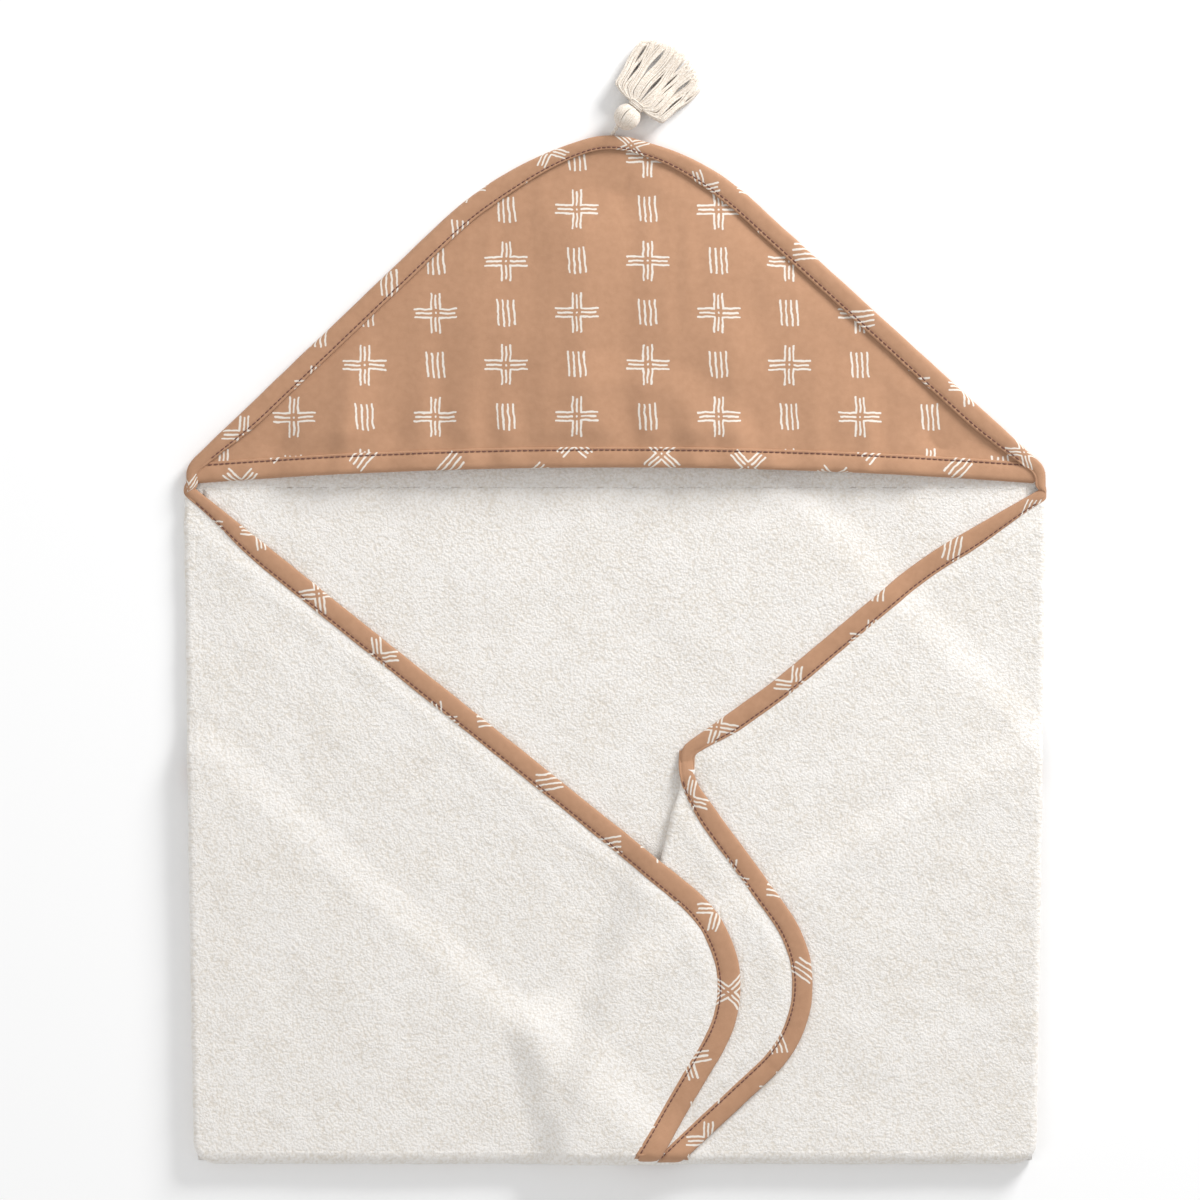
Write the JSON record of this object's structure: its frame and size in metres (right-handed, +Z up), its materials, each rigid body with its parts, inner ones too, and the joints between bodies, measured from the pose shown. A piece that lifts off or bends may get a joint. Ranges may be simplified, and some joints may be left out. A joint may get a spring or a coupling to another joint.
{
  "type": "hooded baby towel",
  "caption": "Square terry baby towel folded for display, with a lined printed hood, contrast binding on every edge and a tassel on the hood's tip.",
  "frame": {"origin": "under the middle of the folded towel, on the table it lies on", "axes": "+X across the towel to the viewer's right, +Y from the bottom fold to the hood's tip, +Z up from the table"},
  "size_m": [0.4741, 0.6156, 0.0221],
  "materials": {
    "terry": "off-white cotton terry with an uncut loop pile",
    "lining": "off-white cotton terry, the hood's inner layer",
    "print": "clay-coloured plain-weave cotton printed with off-white crosses and groups of upright strokes",
    "binding": "bias-cut binding of the same printed cotton",
    "thread": "red-brown sewing thread",
    "yarn": "cream cotton yarn, softly twisted"
  },
  "bodies": {
    "towel": {"terry_back": "terry", "terry_left_flap": "terry", "binding_left_upper": "binding", "stitches_left_upper": "thread", "binding_left_lower": "binding", "stitches_left_lower": "thread", "terry_right_flap": "terry", "binding_right_flap": "binding", "stitches_right_flap": "thread", "terry_right_lapel": "terry", "binding_lapel_upper": "binding", "stitches_lapel_upper": "thread", "binding_lapel_lower": "binding", "stitches_lapel_lower": "thread"},
    "hood": {"terry_hood_corner": "terry", "hood_lining": "lining", "hood_panel": "print", "hood_front_binding": "binding", "stitches_hood_front": "thread", "hood_edge_binding": "binding", "stitches_hood_edge": "thread"},
    "left_lapel": {"terry_left_lapel": "terry", "binding_left_lapel": "binding", "stitches_left_lapel": "thread"},
    "right_corner": {"terry_right_corner": "terry", "binding_right_corner": "binding", "stitches_right_corner": "thread"},
    "bottom_tuck": {"terry_tuck": "terry", "binding_tuck": "binding", "stitches_tuck": "thread", "terry_left_tuck": "terry", "binding_left_tuck": "binding", "stitches_left_tuck": "thread", "terry_right_tuck": "terry", "binding_right_tuck": "binding", "stitches_right_tuck": "thread", "terry_lapel_tuck": "terry", "binding_lapel_tuck": "binding", "stitches_lapel_tuck": "thread"},
    "tassel_cord": {"tassel_cord": "yarn"},
    "tassel": {"tassel_head": "yarn", "tassel_neck_wrap": "yarn", "tassel_skirt": "yarn"}
  },
  "joints": [
    {"name": "hood_fold", "type": "hinge", "parent": "towel", "child": "hood", "pos_m": [0, 0.0625, 0.0095], "axis": [1, 0, 0], "range_deg": [0, 150]},
    {"name": "left_lapel_fold", "type": "hinge", "parent": "towel", "child": "left_lapel", "pos_m": [0.0204, -0.3072, 0.0246], "axis": [0.5485, -0.8358, 0.0245], "range_deg": [0, 160]},
    {"name": "right_corner_fold", "type": "hinge", "parent": "towel", "child": "right_corner", "pos_m": [0.071, -0.2075, 0.0165], "axis": [0, -1, 0], "range_deg": [0, 110]},
    {"name": "bottom_tuck_fold", "type": "hinge", "parent": "towel", "child": "bottom_tuck", "pos_m": [0, -0.3075, 0.0054], "axis": [-1, 0, 0], "range_deg": [0, 180]},
    {"name": "tassel_swing", "type": "hinge", "parent": "hood", "child": "tassel_cord", "pos_m": [-0.004, 0.2565, 0.003], "axis": [0, 0, 1], "range_deg": [-12, 90]},
    {"name": "tassel_lift", "type": "hinge", "parent": "tassel_cord", "child": "tassel", "pos_m": [0.00053, 0.26058, 0.006], "axis": [0.7771, -0.6293, 0], "range_deg": [0, 90]}
  ]
}
